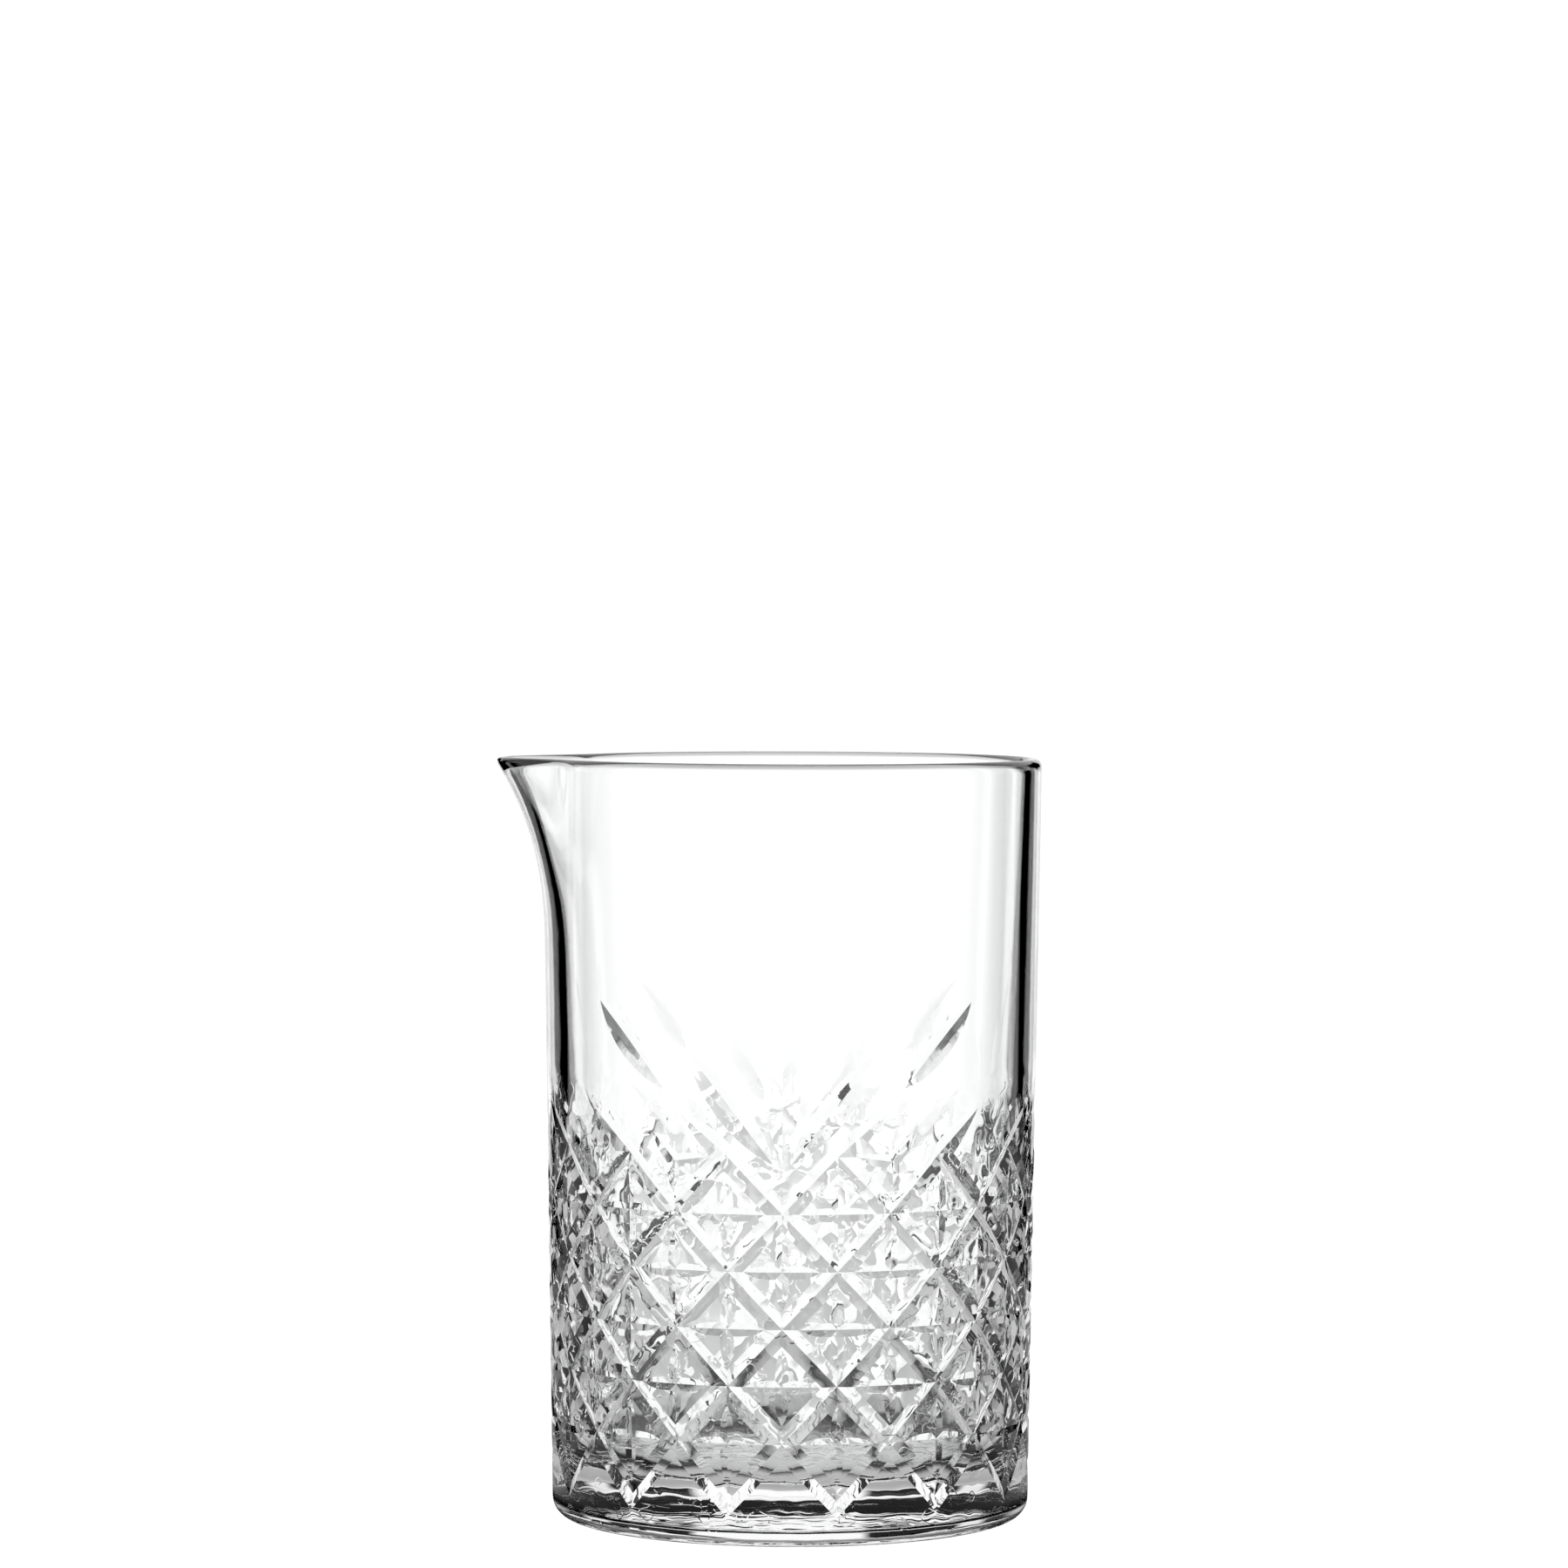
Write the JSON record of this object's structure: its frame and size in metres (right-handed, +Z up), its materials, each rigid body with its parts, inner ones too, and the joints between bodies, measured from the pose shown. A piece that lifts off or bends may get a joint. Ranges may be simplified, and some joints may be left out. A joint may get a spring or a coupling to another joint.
{
  "type": "mixing glass",
  "caption": "Tall, heavy-based clear glass jug without a handle, slightly tapered, with a pouring spout at the rim and diamond and fan cuts on the lower body.",
  "frame": {"origin": "centre of the flat underside, on the body's axis", "axes": "+Z up along the body's axis, spout towards -X, the two fans of leaves face -Y and +Y"},
  "size_m": [0.1079, 0.0988, 0.15],
  "materials": {
    "clear_glass": "polished"
  },
  "bodies": {
    "root": {"glass_body": "clear_glass"}
  },
  "joints": []
}
